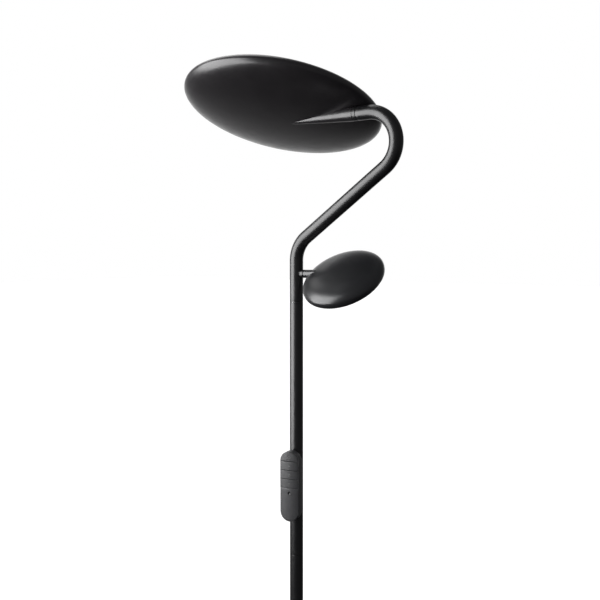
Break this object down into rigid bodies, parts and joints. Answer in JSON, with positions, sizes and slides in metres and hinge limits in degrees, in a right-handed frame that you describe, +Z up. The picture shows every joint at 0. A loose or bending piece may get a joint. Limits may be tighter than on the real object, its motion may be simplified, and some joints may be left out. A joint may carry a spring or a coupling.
{
  "type": "torchiere floor lamp",
  "caption": "Floor lamp with a tilting pebble-shaped uplighter on a Z-bent arm, a small tilting reading lamp, a remote on the pole and a round weighted base.",
  "frame": {"origin": "on the floor at the centre of the round base", "axes": "+Z up along the pole, +X the way the Z-bent arm bends out, -Y the side of the remote"},
  "size_m": [0.3953, 0.314, 1.6721],
  "materials": {
    "black_coat": "satin black powder coat on steel",
    "black_head": "satin black paint on spun aluminium",
    "rubber": "matt black rubber",
    "iron": "rough grey casting",
    "steel": "zinc plated",
    "washer_plastic": "black nylon",
    "remote_shell": "satin charcoal moulded plastic",
    "key_face": "satin charcoal moulded plastic",
    "mode_face": "glossy black",
    "aluminium": "bare aluminium",
    "led_board": "white solder mask",
    "circuit_board": "green solder mask",
    "diffuser": "milky frosted acrylic",
    "coin_cell": "polished steel can",
    "cable": "smooth black sheath"
  },
  "bodies": {
    "root": {"base_pad": "rubber", "base_weight": "iron", "base_cover": "black_coat", "cord_gland": "rubber", "base_screw_1": "steel", "base_screw_2": "steel", "base_screw_3": "steel", "pole_flange": "steel", "base_collar": "black_coat", "pole_lower": "black_coat", "pole_middle": "black_coat", "pole_upper": "black_coat", "joiner_low": "steel", "joiner_mid": "steel", "joiner_top": "steel", "arm_tube": "black_coat", "reading_stub": "black_coat", "head_pivot_ring": "black_coat", "head_end_plug": "steel", "head_plug_screw": "steel", "head_wave_washer": "steel", "reading_friction_washer": "washer_plastic", "reading_wave_washer": "steel", "remote_cradle": "remote_shell", "cradle_magnet": "steel", "cradle_screw_upper": "steel", "cradle_screw_lower": "steel", "main_harness": "cable"},
    "head": {"head_shell": "black_head", "head_pivot_shaft": "steel", "head_pivot_nut": "steel", "head_shaft_screw": "steel", "head_heat_sink": "aluminium", "head_led_board": "led_board", "head_driver": "circuit_board", "head_diffuser": "diffuser", "head_sink_screw_1": "steel", "head_sink_screw_2": "steel", "head_sink_screw_3": "steel", "head_lead": "cable"},
    "reading_head": {"reading_shell": "black_head", "reading_pivot_shaft": "steel", "reading_pivot_nut": "steel", "reading_shaft_screw": "steel", "reading_heat_sink": "aluminium", "reading_led_board": "led_board", "reading_diffuser": "diffuser", "reading_sink_screw_1": "steel", "reading_sink_screw_2": "steel", "reading_lead": "cable"},
    "remote": {"remote_back_shell": "remote_shell", "remote_keeper_plate": "steel", "remote_circuit_board": "circuit_board", "remote_battery": "coin_cell", "remote_front_shell": "remote_shell"},
    "power_key": {"key_power": "key_face"},
    "brighter_key": {"key_brighter": "key_face"},
    "tone_key": {"key_tone": "key_face"},
    "dimmer_key": {"key_dimmer": "key_face"},
    "mode_key": {"key_mode": "mode_face"}
  },
  "joints": [
    {"name": "head_tilt", "type": "hinge", "parent": "root", "child": "head", "pos_m": [0.1157, 0, 1.59], "axis": [1, 0, 0], "range_deg": [-72, 108]},
    {"name": "reading_tilt", "type": "hinge", "parent": "root", "child": "reading_head", "pos_m": [0.017, 0, 1.3423], "axis": [1, 0, 0], "range_deg": [-125, 53]},
    {"name": "remote_lift", "type": "slide", "parent": "root", "child": "remote", "axis": [0.225, -0.9744, 0], "range_m": [0, 0.06]},
    {"name": "power_press", "type": "slide", "parent": "remote", "child": "power_key", "axis": [-0.225, 0.9744, 0], "range_m": [0, 0.0005], "stiffness_N_per_m": 900},
    {"name": "brighter_press", "type": "slide", "parent": "remote", "child": "brighter_key", "axis": [-0.225, 0.9744, 0], "range_m": [0, 0.0005], "stiffness_N_per_m": 900},
    {"name": "tone_press", "type": "slide", "parent": "remote", "child": "tone_key", "axis": [-0.225, 0.9744, 0], "range_m": [0, 0.0005], "stiffness_N_per_m": 900},
    {"name": "dimmer_press", "type": "slide", "parent": "remote", "child": "dimmer_key", "axis": [-0.225, 0.9744, 0], "range_m": [0, 0.0005], "stiffness_N_per_m": 900},
    {"name": "mode_press", "type": "slide", "parent": "remote", "child": "mode_key", "axis": [-0.225, 0.9744, 0], "range_m": [0, 0.0005], "stiffness_N_per_m": 900}
  ]
}
